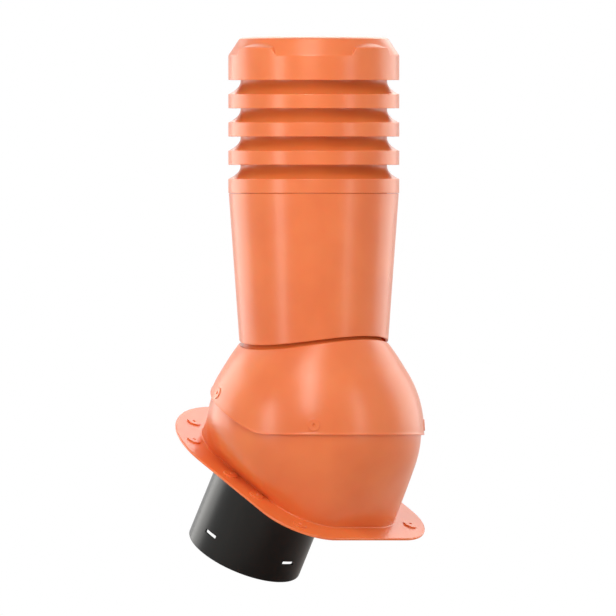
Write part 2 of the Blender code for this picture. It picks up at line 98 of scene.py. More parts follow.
def rounded(points, closed=False):
    """A section line. Each point is (x, y) or (x, y, corner radius)."""
    line = []
    count = len(points)
    for i, point in enumerate(points):
        here = Vector(point[:2])
        radius = point[2] if len(point) > 2 else 0
        if not radius or (not closed and i in (0, count - 1)):
            line.append(here)
            continue
        before = Vector(points[i - 1][:2]) - here
        after = Vector(points[(i + 1) % count][:2]) - here
        half_turn = before.angle(after) / 2
        reach = min(radius / math.tan(half_turn), before.length * 0.45, after.length * 0.45)
        start = here + before.normalized() * reach
        end = here + after.normalized() * reach
        for step in range(CORNER_POINTS):
            u = step / (CORNER_POINTS - 1)
            line.append(start * (1 - u) ** 2 + here * 2 * u * (1 - u) + end * u ** 2)
    return line


def bent(start, corner, end, steps):
    """A smooth bend from start to end, aimed at a corner: a curve of three control points."""
    curve = []
    for step in range(steps + 1):
        u = step / steps
        curve.append(start * (1 - u) ** 2 + corner * 2 * u * (1 - u) + end * u ** 2)
    return curve


def evenly(points, count):
    """The same line with this many points, evenly spaced along it."""
    reaches = [0.0]
    for a, b in zip(points, points[1:]):
        reaches.append(reaches[-1] + (b - a).length)
    line = []
    i = 0
    for step in range(count):
        reach = reaches[-1] * step / (count - 1)
        while i < len(points) - 2 and reaches[i + 1] < reach:
            i += 1
        share = (reach - reaches[i]) / (reaches[i + 1] - reaches[i])
        line.append(points[i].lerp(points[i + 1], share))
    return line


def offset_line(points, distance):
    """The open line moved to its right by the distance, with mitred corners."""
    moved = []
    for i, point in enumerate(points):
        sides = []
        for a, b in ((i - 1, i), (i, i + 1)):
            if a >= 0 and b < len(points):
                direction = (Vector(points[b][:2]) - Vector(points[a][:2])).normalized()
                sides.append(Vector((direction.y, -direction.x)))
        middle = sum(sides, Vector((0, 0))).normalized()
        reach = distance / middle.dot(sides[0])
        moved.append((point[0] + middle.x * reach, point[1] + middle.y * reach))
    return moved


# %% [markdown]
# Every upright piece is a ring-shaped skin: closed rows of points, each joined to the next and the last to
# the first. A turned piece has the same section everywhere. Rows could be made with a Screw modifier too,
# but the sleeve, the hood and the bowl change their section around the axis, so all use one way.

# %% Skins from rows of points
def skin(rows, wrap=True):
    """A mesh through closed rows of world points. With wrap the last row joins the first."""
    work = bmesh.new()
    grid = [[work.verts.new(point) for point in row] for row in rows]
    count = len(rows[0])
    last = len(grid) if wrap else len(grid) - 1
    for i in range(last):
        upper, lower = grid[i], grid[(i + 1) % len(grid)]
        for k in range(count):
            m = (k + 1) % count
            work.faces.new((upper[k], lower[k], lower[m], upper[m]))
    return work


def sections_to_rows(section, columns):
    """Rows of world points from a function that gives the section line at an azimuth."""
    lines = []
    for k in range(columns):
        azimuth = 2 * math.pi * k / columns
        lines.append([around_axis(p.x, azimuth, p.y) for p in section(azimuth)])
    return [list(row) for row in zip(*lines)]


def to_object(name, work):
    """Closes a piece: faces outward, smooth, its normals led by the large faces."""
    bmesh.ops.recalc_face_normals(work, faces=work.faces)
    mesh = bpy.data.meshes.new(name)
    work.to_mesh(mesh)
    work.free()
    mesh.shade_smooth()
    piece = bpy.data.objects.new(name, mesh)
    bpy.context.scene.collection.objects.link(piece)
    weighted = piece.modifiers.new("even_normals", "WEIGHTED_NORMAL")
    weighted.mode = "FACE_AREA"
    weighted.weight = 50
    print(name, len(mesh.polygons), "faces")
    return piece


# %% [markdown]
# The flange and the bowl's foot are two outlines on the slope: round at the ridge end, straight at the eave
# end with rounded corners. A ray from the chimney's axis meets an outline at one place, which a few
# halvings find.

# %% Outlines on the slope
FOOT_SIDE_MARGIN = 36.7 * MM
FOOT_RIDGE_MARGIN = 34.7 * MM
FOOT_EAVE_CORNER = 60 * MM
FLANGE = (-FLANGE_LENGTH / 2, FLANGE_LENGTH / 2, FLANGE_HALF_WIDTH, FLANGE_HALF_WIDTH, FLANGE_EAVE_CORNER)
FOOT_HALF_WIDTH = FLANGE_HALF_WIDTH - FOOT_SIDE_MARGIN
FOOT = (FLANGE[0] + FOOT_RIDGE_MARGIN, FLANGE[1] - EAVE_MARGIN, FOOT_HALF_WIDTH, FOOT_HALF_WIDTH,
        FOOT_EAVE_CORNER)


def distance_outside(s, t, outline):
    """How far a slope point lies outside an outline; negative inside."""
    ridge, eave, width, ridge_corner, eave_corner = outline
    across = abs(t)
    if s < ridge + ridge_corner:
        corner, past, end = ridge_corner, ridge + ridge_corner - s, ridge - s
    elif s > eave - eave_corner:
        corner, past, end = eave_corner, s - (eave - eave_corner), s - eave
    else:
        return across - width
    if across > width - corner:
        return math.hypot(past, across - (width - corner)) - corner
    return max(end, across - width)


def ray_to_outline(azimuth, level, outline, inset):
    """Slope place where the upright plane at an azimuth meets an outline, drawn in by the inset."""
    near, far = 0.0, FLANGE_LENGTH
    ball_x = BALL_S * math.cos(PITCH) + BALL_H * math.sin(PITCH)
    for _ in range(36):
        radius = (near + far) / 2
        s = (ball_x + radius * math.cos(azimuth) - level * math.sin(PITCH)) / math.cos(PITCH)
        t = radius * math.sin(azimuth)
        if distance_outside(s, t, outline) < -inset:
            near = radius
        else:
            far = radius
    return s, t, level


# %% [markdown]
# The bowl follows the ball, then leaves it in a smooth run to its foot. On the eave side that run is the
# ball's own tangent, and on the flanks it curves in. Its rim is hidden under the hood.

# %% Bowl section
BALL_RADIUS = 136.5 * MM
BOWL_WALL = 3 * MM
HOOD_GAP = 0.8 * MM
HOOD_WALL = 2.7 * MM
HOOD_RADIUS = BALL_RADIUS + HOOD_GAP + HOOD_WALL
EDGE_DROP = 6.5 * MM
EDGE_RISE = 9.5 * MM
EDGE_SLOPE = 0.46
EDGE_BLEND = math.radians(0.7)
EDGE_LAP = math.radians(1.5)
RIM_HEIGHT = 55 * MM
RIM_SLOPE = 0.26
LEAVE_SPREAD = math.radians(10)
LEAVE_LEAN = 1.5
BOWL_STEPS = 40


def on_ball(radius, angle):
    return Vector((radius * math.cos(angle), radius * math.sin(angle)))


def smooth_max(a, b, blend):
    return (a + b) / 2 + math.hypot((a - b) / 2, blend)


def plane_angle(radius, height, slope, azimuth):
    """Where a ball's meridian meets the plane z = height - slope * x."""
    lean = slope * math.cos(azimuth)
    return math.asin(height / radius / math.hypot(1, lean)) - math.atan(lean)


def hood_edge_angle(azimuth):
    """The hood's lower edge: level on the eave side, rising on the ridge side."""
    level = math.asin(-EDGE_DROP / HOOD_RADIUS)
    rising = plane_angle(HOOD_RADIUS, EDGE_RISE, EDGE_SLOPE, azimuth)
    return smooth_max(level, rising, EDGE_BLEND)


def bowl_wall(azimuth, inset):
    """World points down the bowl's wall, from its rim to its foot halfway through the flange."""
    radius = BALL_RADIUS - inset
    reach = on_slope(*ray_to_outline(azimuth, FLANGE_THICKNESS / 2, FOOT, inset)) - BALL
    foot = Vector((math.hypot(reach.x, reach.y), reach.z))
    if foot.length > radius:
        turn = math.acos(radius / foot.length)
    else:
        turn = LEAVE_LEAN * math.acos(foot.length / radius)
    leave = math.atan2(foot.y, foot.x) + math.hypot(turn, LEAVE_SPREAD)
    leave = -smooth_max(-leave, EDGE_LAP - hood_edge_angle(azimuth), EDGE_BLEND)
    rim = plane_angle(radius, RIM_HEIGHT, RIM_SLOPE, azimuth)
    line = [on_ball(radius, rim + (leave - rim) * step / BOWL_STEPS) for step in range(BOWL_STEPS)]
    start = on_ball(radius, leave)
    tangent = Vector((math.sin(leave), -math.cos(leave)))
    line += bent(start, start + tangent * (foot - start).length / 2, foot, BOWL_STEPS)
    return [around_axis(p.x, azimuth, p.y) for p in line]


print("ball radius of the hood:", round(HOOD_RADIUS / MM, 1), "mm")

# %% [markdown]
# The base is one moulding: flange, bowl, and inside it the floor with the collar that holds the duct. Its
# skin runs from the bowl's rim down the outside, through a small fillet, over the flange and its rounded
# edge, back under it to the duct's opening, and up the inside to the rim.

# %% Rows of the base
BASE_COLUMNS = 288
FILLET = 1.6 * MM
EDGE_ROUND = 1.3 * MM
DUCT_S = -21.6 * MM
DUCT_RADIUS = 75 * MM
COLLAR_WALL = 3 * MM
COLLAR_RISE = 10 * MM
WALL_ROWS = 34
FILLET_STEPS = 7
MARGIN_ROWS = 15
INSIDE_ROWS = 14
SLOPE_UP = on_slope(0, 0, 1) - on_slope(0, 0, 0)
SLOPE_TOP = on_slope(0, 0, FLANGE_THICKNESS)


def cut_above(points, height):
    """The part of a line that lies this far above the flange's top, with its last point on that level."""
    kept = []
    for point in points:
        rise = (point - SLOPE_TOP).dot(SLOPE_UP) - height
        if kept and rise < 0:
            before = (kept[-1] - SLOPE_TOP).dot(SLOPE_UP) - height
            kept.append(kept[-1].lerp(point, before / (before - rise)))
            break
        kept.append(point)
    return kept


def duct_circle_towards(place, radius, h):
    """The point of a circle about the duct's axis that lies towards a slope place."""
    angle = math.atan2(place[1], place[0] - DUCT_S)
    return on_slope(DUCT_S + radius * math.cos(angle), radius * math.sin(angle), h)


def base_column(azimuth):
    """World points of the base's section in the upright plane at an azimuth."""
    wall = bowl_wall(azimuth, 0)
    corner = cut_above(wall, 0)[-1]
    column = evenly(cut_above(wall, FILLET), WALL_ROWS)
    rim_in = on_slope(*ray_to_outline(azimuth, FLANGE_THICKNESS, FLANGE, EDGE_ROUND))
    fillet_end = corner + (rim_in - corner).normalized() * FILLET
    column += bent(column[-1], corner, fillet_end, FILLET_STEPS)[1:]
    column += evenly([fillet_end, rim_in], MARGIN_ROWS)[1:-1]
    edge_top = on_slope(*ray_to_outline(azimuth, FLANGE_THICKNESS, FLANGE, 0))
    edge_middle = on_slope(*ray_to_outline(azimuth, FLANGE_THICKNESS / 2, FLANGE, 0))
    edge_low = on_slope(*ray_to_outline(azimuth, 0, FLANGE, 0))
    under = ray_to_outline(azimuth, 0, FLANGE, EDGE_ROUND / 2)
    column += bent(rim_in, edge_top, edge_middle, 5)
    column += bent(edge_middle, edge_low, on_slope(*under), 3)[1:]
    bore = DUCT_RADIUS + GAP
    for radius, h in ((bore, 0), (bore, COLLAR_RISE), (bore + COLLAR_WALL, COLLAR_RISE),
                      (bore + COLLAR_WALL, FLANGE_THICKNESS)):
        column.append(duct_circle_towards(under, radius, h))
    inside = cut_above(bowl_wall(azimuth, BOWL_WALL), 0)
    return column + evenly(inside, INSIDE_ROWS)[::-1]


base_columns = [base_column(2 * math.pi * k / BASE_COLUMNS) for k in range(BASE_COLUMNS)]
base_work = skin([list(row) for row in zip(*base_columns)])
bmesh.ops.recalc_face_normals(base_work, faces=base_work.faces)
print("base skin:", len(base_work.faces), "faces")

# %% [markdown]
# A round mark shows where a screw goes: a low disc with a dimple for the drill, moulded in one with the
# wall. It is set into the skin: the faces around its place are taken out, the disc goes in, and triangles
# fill the space between. A separate disc laid on top would leave hidden faces inside the wall.

# %% Round marks
MARK_STEPS = 40
MARK_ROUND = 0.25 * MM
DIMPLE_RADIUS = 2 * MM
DIMPLE_DEPTH = 1.9 * MM
MARK_CLEARANCE = 4 * MARK_ROUND
FACING_ALIKE = 0.97


def mark_line(radius, rise):
    """The mark's section, radius and rise, from the wall's surface to the bottom of its dimple."""
    line = bent(Vector((radius + MARK_ROUND, 0)), Vector((radius, 0)), Vector((radius, MARK_ROUND)), 2)
    line += bent(Vector((radius, rise - MARK_ROUND)), Vector((radius, rise)),
                 Vector((radius - MARK_ROUND, rise)), 3)
    line += bent(Vector((DIMPLE_RADIUS + MARK_ROUND, rise)), Vector((DIMPLE_RADIUS, rise)),
                 Vector((DIMPLE_RADIUS * 0.8, rise - DIMPLE_DEPTH / 2)), 3)
    line.append(Vector((DIMPLE_RADIUS * 0.4, rise - DIMPLE_DEPTH)))
    return line


def set_mark(work, place, normal, radius, rise, onto_wall):
    """Sets a round mark into a skin. onto_wall moves a point of its outermost ring onto the wall."""
    stand = Matrix.Translation(place) @ normal.to_track_quat("Z", "Y").to_matrix().to_4x4()
    clear = radius + MARK_CLEARANCE
    near = [face for face in work.faces if face.normal.dot(normal) > FACING_ALIKE and
            any((corner.co - place).length < clear for corner in face.verts)]
    chosen = set(near)
    border = {edge for face in near for edge in face.edges
              if not all(other in chosen for other in edge.link_faces)}
    bmesh.ops.delete(work, geom=near, context="FACES")
    rings = []
    for point in mark_line(radius, rise):
        ring = []
        for k in range(MARK_STEPS):
            angle = 2 * math.pi * k / MARK_STEPS
            spot = stand @ Vector((point.x * math.cos(angle), point.x * math.sin(angle), point.y))
            ring.append(work.verts.new(spot if rings else onto_wall(spot)))
        rings.append(ring)
    for outer, inner in zip(rings, rings[1:]):
        for k in range(MARK_STEPS):
            m = (k + 1) % MARK_STEPS
            work.faces.new((outer[k], outer[m], inner[m], inner[k]))
    work.faces.new(rings[-1])
    rim = [work.edges.get((rings[0][k - 1], rings[0][k])) for k in range(MARK_STEPS)]
    bmesh.ops.triangle_fill(work, use_beauty=True, edges=list(border) + rim, normal=normal)


# %% [markdown]
# On the flange the marks stand around the ridge end, along the sides and at the eave corners.

# %% Base piece
FLANGE_MARK_RADIUS = 9 * MM
FLANGE_MARK_RISE = 1.7 * MM
FLANGE_MARK_INSET = 20.5 * MM
RIDGE_MARK_ANGLES = (0, 34, -34, 65, -65)
SIDE_MARK_PLACES = (0.30, 0.71)


def flange_mark_places():
    ridge, eave, width, ridge_corner, eave_corner = FLANGE
    circle = ridge_corner - FLANGE_MARK_INSET
    places = []
    for degrees in RIDGE_MARK_ANGLES:
        angle = math.radians(degrees)
        places.append((ridge + ridge_corner - circle * math.cos(angle), circle * math.sin(angle)))
    straight = eave - eave_corner - (ridge + ridge_corner)
    corner_reach = (eave_corner - FLANGE_MARK_INSET) / math.sqrt(2)
    for side in (-1, 1):
        for share in SIDE_MARK_PLACES:
            places.append((ridge + ridge_corner + straight * share, side * (width - FLANGE_MARK_INSET)))
        places.append((eave - eave_corner + corner_reach, side * (width - eave_corner + corner_reach)))
    return places


def as_it_is(spot):
    return spot


for s, t in flange_mark_places():
    set_mark(base_work, on_slope(s, t, FLANGE_THICKNESS), SLOPE_UP, FLANGE_MARK_RADIUS, FLANGE_MARK_RISE,
             as_it_is)
roof_base = to_object("roof_base_moulding", base_work)

# %% [markdown]
# The hood is a ball shell that laps over the bowl. Its seat for the sleeve is a saddle: high along the
# roof's fall and low across it, so the section changes around the axis. Below the seat the shoulder
# swells a little beyond the ball, and the lower edge is rounded on both sides. The neck flares at its foot,
# so the gap below the sleeve shows a dark line and doesn't mirror the bright room.

# %% Hood piece
HOOD_COLUMNS = 240
SEAT_RADIUS = 95.3 * MM
SEAT_HEIGHT = 108.8 * MM
SEAT_WAVE = 6.5 * MM
SEAT_LEDGE = 1.2 * MM
SEAT_ROUND = 1.2 * MM
SHOULDER_ANGLE = math.radians(16)
SHOULDER_POWER = 1.5
NECK_RADIUS = 86 * MM
NECK_HEIGHT = 173.5 * MM
NECK_WALL = 3 * MM
NECK_FLARE = 4.5 * MM
NECK_FLARE_RISE = 7 * MM
HOOD_EDGE_ROUND = 0.9 * MM
HOOD_BEAD = 0.7 * MM
HOOD_BEAD_WIDTH = 3 * MM
HOOD_OUTER_ROWS = 44
HOOD_INNER_ROWS = 16


def hood_section(azimuth):
    """From the neck's top down the outside to the lower edge and up the inside."""
    inner = HOOD_RADIUS - HOOD_WALL
    seat = SEAT_HEIGHT + SEAT_WAVE * math.cos(2 * azimuth)
    seat_angle = math.atan2(seat, SEAT_RADIUS)
    proud = math.hypot(seat, SEAT_RADIUS) - HOOD_RADIUS
    edge = hood_edge_angle(azimuth)
    blunt = HOOD_EDGE_ROUND / HOOD_RADIUS

    def shoulder(angle):
        share = 1 - (seat_angle - angle) / SHOULDER_ANGLE
        return on_ball(HOOD_RADIUS + proud * max(share, 0) ** SHOULDER_POWER, angle)

    ledge_in = Vector((NECK_RADIUS + NECK_FLARE, seat - SEAT_LEDGE))
    ledge_out = Vector((SEAT_RADIUS, seat))
    round_start = ledge_out + (ledge_in - ledge_out).normalized() * SEAT_ROUND
    round_end = seat_angle - SEAT_ROUND / HOOD_RADIUS
    line = [Vector((NECK_RADIUS, NECK_HEIGHT)), Vector((NECK_RADIUS, seat + NECK_FLARE_RISE)), ledge_in]
    line += bent(round_start, ledge_out, shoulder(round_end), 4)[:-1]
    bead_top = edge + blunt + HOOD_BEAD_WIDTH / HOOD_RADIUS
    line += [shoulder(round_end + (bead_top - round_end) * step / HOOD_OUTER_ROWS)
             for step in range(HOOD_OUTER_ROWS)]
    beaded = HOOD_RADIUS + HOOD_BEAD
    line += [on_ball(HOOD_RADIUS, bead_top),
             on_ball(HOOD_RADIUS + HOOD_BEAD * 0.3, edge + blunt + HOOD_BEAD_WIDTH * 0.6 / HOOD_RADIUS),
             on_ball(beaded - HOOD_BEAD * 0.1, edge + blunt + HOOD_BEAD_WIDTH * 0.25 / HOOD_RADIUS)]
    edge_middle = on_ball(HOOD_RADIUS - HOOD_WALL / 2, edge)
    line += bent(on_ball(beaded, edge + blunt), on_ball(beaded, edge), edge_middle, 4)
    line += bent(edge_middle, on_ball(inner, edge), on_ball(inner, edge + blunt), 3)[1:]
    neck_bore = NECK_RADIUS - NECK_WALL
    under = min(seat - SEAT_LEDGE - HOOD_WALL, math.sqrt(inner ** 2 - NECK_RADIUS ** 2))
    up = math.asin(under / inner) - edge - blunt
    line += [on_ball(inner, edge + blunt + up * step / HOOD_INNER_ROWS)
             for step in range(1, HOOD_INNER_ROWS + 1)]
    return line + [Vector((neck_bore, under)), Vector((neck_bore, NECK_HEIGHT))]


HOOD_MARK_RADIUS = 7.5 * MM
HOOD_MARK_RISE = 0.9 * MM
HOOD_MARKS = ((45, 2.6), (-45, 2.6), (113, 19.6), (-113, 19.6))


def onto_hood(spot):
    return BALL + (spot - BALL).normalized() * HOOD_RADIUS


hood_work = skin(sections_to_rows(hood_section, HOOD_COLUMNS))
bmesh.ops.recalc_face_normals(hood_work, faces=hood_work.faces)
for azimuth, rise in HOOD_MARKS:
    flat = on_ball(1, math.radians(rise))
    outward = around_axis(flat.x, math.radians(azimuth), flat.y) - BALL
    set_mark(hood_work, BALL + outward * HOOD_RADIUS, outward, HOOD_MARK_RADIUS, HOOD_MARK_RISE, onto_hood)
ball_hood = to_object("ball_hood_moulding", hood_work)

# %% [markdown]
# The sleeve is a slightly tapered tube. Its wavy lower edge follows the seat a few millimetres above it, a
# shelf inside rests on the hood's neck, and a lip at its top centres the first louvre ring.

# %% Sleeve piece
TURNED_COLUMNS = 192
SLEEVE_TOP_RADIUS = 108 * MM
SLEEVE_FOOT_RADIUS = 94.6 * MM
SLEEVE_EDGE_HEIGHT = 113.55 * MM
SLEEVE_WAVE = 5.83 * MM
SLEEVE_WALL = 3 * MM
SEAM_HEIGHT = 300.6 * MM
LIP_RADIUS = 93 * MM
LIP_OVERLAP = 7 * MM
RING_WALL = 2.7 * MM
OUTER_ROUND = 0.9 * MM
INNER_ROUND = 0.5 * MM


def sleeve_radius(height):
    share = (height - SLEEVE_EDGE_HEIGHT) / (SEAM_HEIGHT - SLEEVE_EDGE_HEIGHT)
    return SLEEVE_FOOT_RADIUS + (SLEEVE_TOP_RADIUS - SLEEVE_FOOT_RADIUS) * share


def sleeve_section(azimuth):
    edge = SLEEVE_EDGE_HEIGHT + SLEEVE_WAVE * math.cos(2 * azimuth)
    shelf_low = NECK_HEIGHT + GAP
    shelf_high = shelf_low + SLEEVE_WALL
    shelf_inner = NECK_RADIUS - NECK_WALL
    floor = SEAM_HEIGHT - SLEEVE_WALL
    return rounded([
        (LIP_RADIUS, SEAM_HEIGHT + LIP_OVERLAP, INNER_ROUND),
        (LIP_RADIUS, SEAM_HEIGHT),
        (SLEEVE_TOP_RADIUS, SEAM_HEIGHT, OUTER_ROUND),
        (sleeve_radius(edge), edge, OUTER_ROUND),
        (sleeve_radius(edge) - SLEEVE_WALL, edge, INNER_ROUND),
        (sleeve_radius(shelf_low) - SLEEVE_WALL, shelf_low),
        (shelf_inner, shelf_low),
        (shelf_inner, shelf_high),
        (sleeve_radius(shelf_high) - SLEEVE_WALL, shelf_high),
        (sleeve_radius(floor) - SLEEVE_WALL, floor),
        (LIP_RADIUS - RING_WALL, floor),
        (LIP_RADIUS - RING_WALL, SEAM_HEIGHT + LIP_OVERLAP),
    ], closed=True)


outer_sleeve = to_object("outer_sleeve_moulding", skin(sections_to_rows(sleeve_section, TURNED_COLUMNS)))

# %% [markdown]
# Each louvre ring is a band with a skirt that curves inward and up behind the band above, so rain runs off
# and air gets out. Four thin webs under the skirt stand on the lip of the ring below. They are joined by a
# Boolean, once, and the four rings share the result, each moved up by the pitch.

# %% Louvre rings
RING_RADIUS = 108.6 * MM
BAND_HEIGHT = 17.9 * MM
RING_PITCH = 35.9 * MM
SKIRT_POWER = 2.4
SKIRT_STEPS = 14
WEB_THICKNESS = 2.4 * MM
RING_COUNT = 4


def ring_line():
    """The ring's outer line from the lip's top, down the curved skirt and the band."""
    line = [(LIP_RADIUS, RING_PITCH + LIP_OVERLAP), (LIP_RADIUS, RING_PITCH)]
    for step in range(SKIRT_STEPS - 1, 0, -1):
        share = step / SKIRT_STEPS
        reach = (RING_RADIUS - LIP_RADIUS) * (1 - share) ** SKIRT_POWER
        line.append((LIP_RADIUS + reach, BAND_HEIGHT + (RING_PITCH - BAND_HEIGHT) * share))
    return line + [(RING_RADIUS, BAND_HEIGHT, OUTER_ROUND), (RING_RADIUS, 0.0, OUTER_ROUND)]


def ring_section(azimuth):
    outer = ring_line()
    inner = offset_line(outer, RING_WALL)[::-1]
    inner[0] += (INNER_ROUND,)
    lift = SEAM_HEIGHT + GAP
    return [p + Vector((0, lift)) for p in rounded(outer + inner, closed=True)]


def with_webs(piece, outline, lift):
    """Joins four radial plates to a turned piece. The outline is (radius, height) corners."""
    work = bmesh.new()
    for quarter in range(4):
        turn = Matrix.Translation(BALL) @ Matrix.Rotation(math.pi / 2 * quarter, 4, "Z")
        sides = []
        for side in (-WEB_THICKNESS / 2, WEB_THICKNESS / 2):
            corners = [work.verts.new(turn @ Vector((r, side, h + lift))) for r, h in outline]
            work.faces.new(corners)
            sides.append(corners)
        for k in range(len(outline)):
            m = (k + 1) % len(outline)
            work.faces.new((sides[0][k], sides[0][m], sides[1][m], sides[1][k]))
    webs = to_object("webs_tool", work)
    webs.modifiers.clear()
    join = piece.modifiers.new("webs", "BOOLEAN")
    join.object = webs
    join.solver = "EXACT"
    join.operation = "UNION"
    graph = bpy.context.evaluated_depsgraph_get()
    joined = bpy.data.meshes.new_from_object(piece.evaluated_get(graph))
    piece.modifiers.remove(join)
    piece.data = joined
    bpy.data.objects.remove(webs)


def web_outline():
    """The web under a skirt, its upper edge buried in the middle of the skirt's wall."""
    foot = LIP_OVERLAP + GAP
    middle = offset_line(ring_line(), RING_WALL / 2)[1:-1]
    return [(LIP_RADIUS - RING_WALL / 2, foot)] + middle + [(middle[-1][0], foot)]


first_ring = to_object("louvre_ring_1_moulding", skin(sections_to_rows(ring_section, TURNED_COLUMNS)))
with_webs(first_ring, web_outline(), SEAM_HEIGHT + GAP)
louvre_rings = [first_ring]
for i in range(1, RING_COUNT):
    mesh = first_ring.data.copy()
    mesh.transform(Matrix.Translation((0, 0, i * RING_PITCH)))
    ring = first_ring.copy()
    ring.data = mesh
    ring.name = f"louvre_ring_{i + 1}_moulding"
    bpy.context.scene.collection.objects.link(ring)
    louvre_rings.append(ring)
print("rings:", [ring.name for ring in louvre_rings])

# %% [markdown]
# The cap is nearly flat on top, with a rounded rim and a chamfered shoulder. Four lobes fill out the chamfer,
# each with a sloping ledge on top and slanted ends. The section blends between plain and lobe, with more
# columns where it changes, so the lobes are one smooth skin with the cap.

# %% Cap piece
CAP_SKIRT = 31.4 * MM
CAP_SHOULDER_RADIUS = 94.3 * MM
CAP_SHOULDER_HEIGHT = 52.6 * MM
CAP_CROWN_RADIUS = 90.5 * MM
CAP_CROWN_HEIGHT = 54.2 * MM
CAP_TOP_HEIGHT = 55.9 * MM
CAP_CROWN_POWER = 4
LOBE_RISE = 10.2 * MM
LEDGE_RISE = 4.3 * MM
LOBE_HALF_ANGLE_TOP = 15
LOBE_HALF_ANGLE_FOOT = 18.5
LOBE_END_BLEND = 0.02
CORNER_REACH = 1.4 * MM
LEDGE_FULL = 2 * MM
CROWN_ROUND = 3 * MM
SHOULDER_ROUND = 2.5 * MM
CROWN_ROWS = 9
LEDGE_STEPS = 6
CAP_SKIRT_ROWS = 10
CAP_LIFT = SEAM_HEIGHT + GAP + RING_COUNT * RING_PITCH


def cap_columns():
    """Azimuths around the cap in degrees, close together where the lobes end."""
    half = [2.0 * k for k in range(7)] + [13 + 0.5 * k for k in range(16)]
    half += [21 + 2.0 * k for k in range(12)]
    quarter = [-a for a in half[:0:-1]] + half + [45]
    return [lobe * 90 + a for lobe in range(4) for a in quarter]


def lobe_at(degrees):
    """How far the lobe and its ledge's slope are raised at an azimuth, from 0 to 1."""
    off = abs((degrees + 45) % 90 - 45)
    share = (LOBE_HALF_ANGLE_FOOT - off) / (LOBE_HALF_ANGLE_FOOT - LOBE_HALF_ANGLE_TOP)
    lobe = smooth_max(0, -smooth_max(-share, -1, LOBE_END_BLEND), LOBE_END_BLEND)
    return lobe, max(0, 1 - (off / LOBE_HALF_ANGLE_TOP) ** 2)


def cap_section(degrees):
    """From the middle of the top, over the shoulder and down the skirt, and back up the inside."""
    drop = CAP_TOP_HEIGHT - CAP_CROWN_HEIGHT
    crown = [(r, CAP_TOP_HEIGHT - drop * (r / CAP_CROWN_RADIUS) ** CAP_CROWN_POWER)
             for r in (k / CROWN_ROWS * CAP_CROWN_RADIUS for k in range(CROWN_ROWS))]
    shoulder = Vector((CAP_SHOULDER_RADIUS, CAP_SHOULDER_HEIGHT))
    chamfer_foot = Vector((RING_RADIUS, CAP_SKIRT))
    top = rounded(crown + [(CAP_CROWN_RADIUS, CAP_CROWN_HEIGHT, CROWN_ROUND), (*shoulder, SHOULDER_ROUND),
                           chamfer_foot])
    raised, sloped = lobe_at(degrees)
    outer_corner = chamfer_foot + Vector((0, LOBE_RISE * raised))
    along = (LOBE_RISE * raised + LEDGE_RISE * sloped) / (CAP_SHOULDER_HEIGHT - CAP_SKIRT)
    inner_corner = chamfer_foot.lerp(shoulder, along)
    chamfer_up = (shoulder - chamfer_foot).normalized()
    start = inner_corner + chamfer_up * CORNER_REACH
    end = outer_corner - Vector((0, CORNER_REACH))
    full = min((outer_corner - inner_corner).length / LEDGE_FULL, 1.0)
    first = ((start + inner_corner) / 2).lerp(inner_corner, full)
    second = ((end + outer_corner) / 2).lerp(outer_corner, full)
    middle = ((start + inner_corner + outer_corner + end) / 4).lerp((inner_corner + outer_corner) / 2, full)
    line = top[:-1] + evenly([top[-2], start], LEDGE_STEPS)[1:-1]
    line += bent(start, first, middle, LEDGE_STEPS) + bent(middle, second, end, LEDGE_STEPS)[1:]
    low = Vector((RING_RADIUS, 0))
    line += evenly([end, low + Vector((0, OUTER_ROUND))], CAP_SKIRT_ROWS)[1:-1]
    line += rounded([(RING_RADIUS, 2 * OUTER_ROUND), (*low, OUTER_ROUND),
                     (RING_RADIUS - RING_WALL, 0, INNER_ROUND), (RING_RADIUS - RING_WALL, RING_WALL)])[1:]
    plain = crown + [(CAP_CROWN_RADIUS, CAP_CROWN_HEIGHT), shoulder, chamfer_foot, low]
    inside = offset_line(plain, RING_WALL)[::-1]
    inside[-1] = (0.0, inside[-1][1])
    return line + [Vector(p) for p in inside[1:]]


cap_lines = []
for degrees in cap_columns():
    azimuth = math.radians(degrees)
    cap_lines.append([around_axis(p.x, azimuth, p.y + CAP_LIFT) for p in cap_section(degrees)])
cap_work = skin([list(row) for row in zip(*cap_lines)], wrap=False)
bmesh.ops.remove_doubles(cap_work, verts=cap_work.verts, dist=0.001 * MM)
cap_cover = to_object("cap_cover_moulding", cap_work)
web_foot = LIP_OVERLAP + GAP
web_inner = LIP_RADIUS - RING_WALL / 2
web_outer = RING_RADIUS - RING_WALL / 2
with_webs(cap_cover, [(web_inner, web_foot), (web_inner, CAP_SKIRT / 2),
                      (web_outer, CAP_SKIRT - RING_WALL), (web_outer, web_foot)], CAP_LIFT)

# %% [markdown]
# The duct is an extruded tube, square to the roof, with a rim inside the base that rests on the collar. Its
# open end is cut with a light chamfer, and four slots for a coupler's catches are punched near it. They are
# cut by a Boolean, with their corners rounded as a punch leaves them.

# %% Duct piece
DUCT_WALL = 3 * MM
DUCT_DROP = 127.6 * MM
DUCT_RIM = 4.5 * MM
DUCT_RIM_HEIGHT = 2.7 * MM
DUCT_CHAMFER = 1.2 * MM
SLOT_LENGTH = 20 * MM
SLOT_WIDTH = 5 * MM
SLOT_RISE = 28 * MM
SLOT_CORNER = 1.2 * MM
SLOT_ROWS = (20 * MM, 3.5 * MM, -3.5 * MM)  # rows close to the slots keep the long wall smooth


